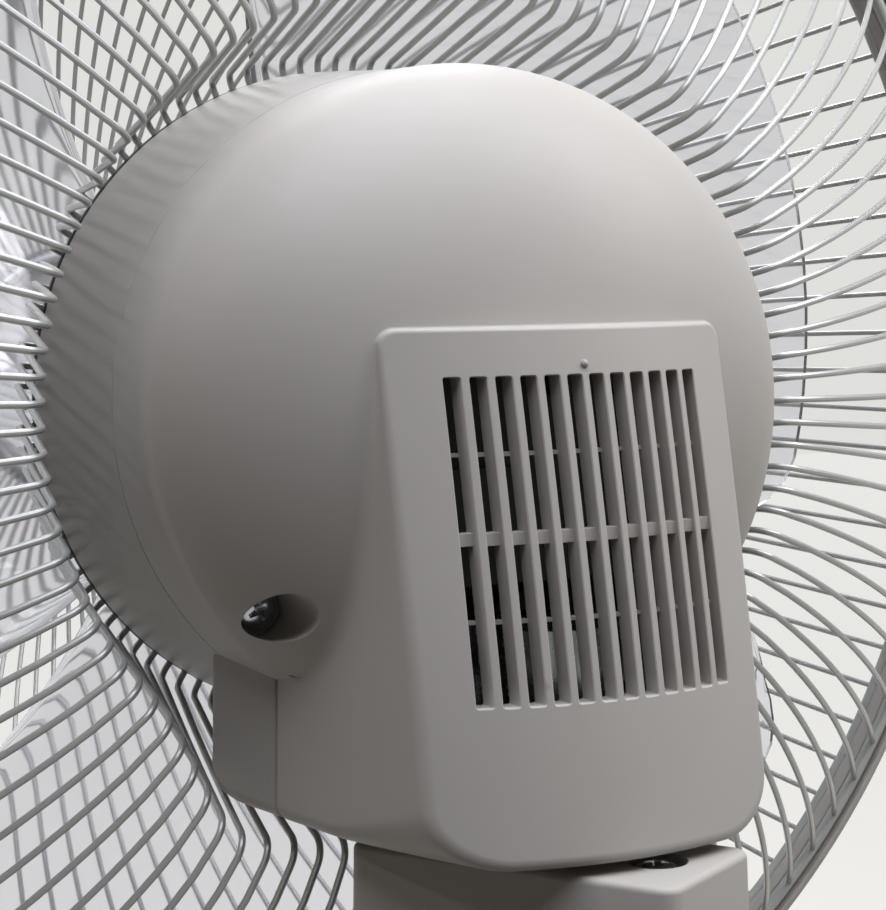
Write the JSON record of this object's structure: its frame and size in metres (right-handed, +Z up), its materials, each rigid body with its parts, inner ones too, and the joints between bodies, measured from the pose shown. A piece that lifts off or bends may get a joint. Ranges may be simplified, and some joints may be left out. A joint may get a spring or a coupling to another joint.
{
  "type": "air circulator fan",
  "caption": "Floor air circulator fan: wire-caged swinging and tilting head on a height-adjustable pole and round weighted base.",
  "frame": {"origin": "on the floor, under the middle of the bounding box", "axes": "+Z up; the head blows towards -Y at rest; +X is the left of someone looking at the head's rear. The stand is turned 31.1 degrees about Z, because the head rests swung to one side"},
  "size_m": [0.3818, 0.409, 0.7689],
  "materials": {
    "pod_plastic": "satin, fine moulded grain",
    "dark_plastic": "matte",
    "wire_paint": "silver-grey satin paint on drawn wire",
    "pole_paint": "satin paint",
    "blade_plastic": "clear, slightly smoky, polished",
    "steel": "zinc plated",
    "pole_chrome": "bright plated",
    "iron": "as cast, painted",
    "windings": "enamelled copper on laminated steel",
    "nylon": "natural",
    "circuit": "solder mask",
    "rubber": "matte"
  },
  "bodies": {
    "stand": {"base_cover": "pod_plastic", "base_plate": "dark_plastic", "base_weight": "iron", "foot_1": "rubber", "foot_2": "rubber", "foot_3": "rubber", "foot_4": "rubber", "control_panel": "dark_plastic", "switch_board": "circuit", "power_inlet": "dark_plastic", "outer_pole": "pole_paint", "pole_bush": "nylon"},
    "collar": {"height_collar": "dark_plastic"},
    "mast": {"inner_pole": "pole_chrome", "pole_head": "pod_plastic"},
    "neck": {"neck_shell": "pod_plastic", "neck_screw": "steel", "tilt_pin": "steel", "pivot_post": "steel", "thrust_washer": "nylon", "retaining_ring": "steel", "swing_gear": "nylon"},
    "head": {"rear_cover": "pod_plastic", "lower_front_cover": "pod_plastic", "cover_screw_left": "steel", "cover_screw_right": "steel", "motor_bracket": "dark_plastic", "motor_case": "steel", "motor_stator": "windings", "front_bearing": "steel", "rear_bearing": "steel", "control_board": "circuit", "swing_motor": "steel", "swing_bracket": "steel", "rear_guard": "wire_paint", "front_guard": "wire_paint", "guard_rim": "pod_plastic", "guard_nut": "dark_plastic", "front_badge": "pod_plastic"},
    "pinion": {"swing_pinion": "nylon"},
    "blade": {"motor_rotor": "steel", "motor_shaft": "steel", "fan_blade": "blade_plastic", "blade_nut": "dark_plastic"},
    "power": {"power_button": "pod_plastic"},
    "speed": {"speed_button": "pod_plastic"},
    "swing": {"swing_button": "pod_plastic"},
    "timer": {"timer_button": "pod_plastic"}
  },
  "joints": [
    {"name": "height_slide", "type": "slide", "parent": "stand", "child": "mast", "axis": [0, 0, 1], "range_m": [-0.08, 0.15]},
    {"name": "collar_twist", "type": "hinge", "parent": "stand", "child": "collar", "pos_m": [0, 0.09302, 0.293], "axis": [0, 0, 1], "range_deg": [0, 60]},
    {"name": "head_tilt", "type": "hinge", "parent": "mast", "child": "neck", "pos_m": [0, 0.09302, 0.44], "axis": [-0.8563, -0.5165, 0], "range_deg": [-10, 35]},
    {"name": "head_swing", "type": "hinge", "parent": "neck", "child": "head", "pos_m": [0, 0.09302, 0.4987], "axis": [0, 0, 1], "range_deg": [-13.9, 76.1]},
    {"name": "swing_pinion_spin", "type": "hinge", "parent": "head", "child": "pinion", "pos_m": [0, 0.07972, 0.5157], "axis": [0, 0, 1], "range_deg": [-60, 180]},
    {"name": "blade_spin", "type": "hinge", "parent": "head", "child": "blade", "pos_m": [0, -0.00948, 0.578], "axis": [0, 1, 0], "continuous": true},
    {"name": "power_button_press", "type": "slide", "parent": "stand", "child": "power", "axis": [0, 0, -1], "range_m": [0, 0.001], "stiffness_N_per_m": 500, "springref_m": -0.001},
    {"name": "speed_button_press", "type": "slide", "parent": "stand", "child": "speed", "axis": [0, 0, -1], "range_m": [0, 0.001], "stiffness_N_per_m": 500, "springref_m": -0.001},
    {"name": "swing_button_press", "type": "slide", "parent": "stand", "child": "swing", "axis": [0, 0, -1], "range_m": [0, 0.001], "stiffness_N_per_m": 500, "springref_m": -0.001},
    {"name": "timer_button_press", "type": "slide", "parent": "stand", "child": "timer", "axis": [0, 0, -1], "range_m": [0, 0.001], "stiffness_N_per_m": 500, "springref_m": -0.001}
  ],
  "couplings": [
    {"joint": "swing_pinion_spin", "follows": "head_swing", "ratio": 2.1667}
  ]
}
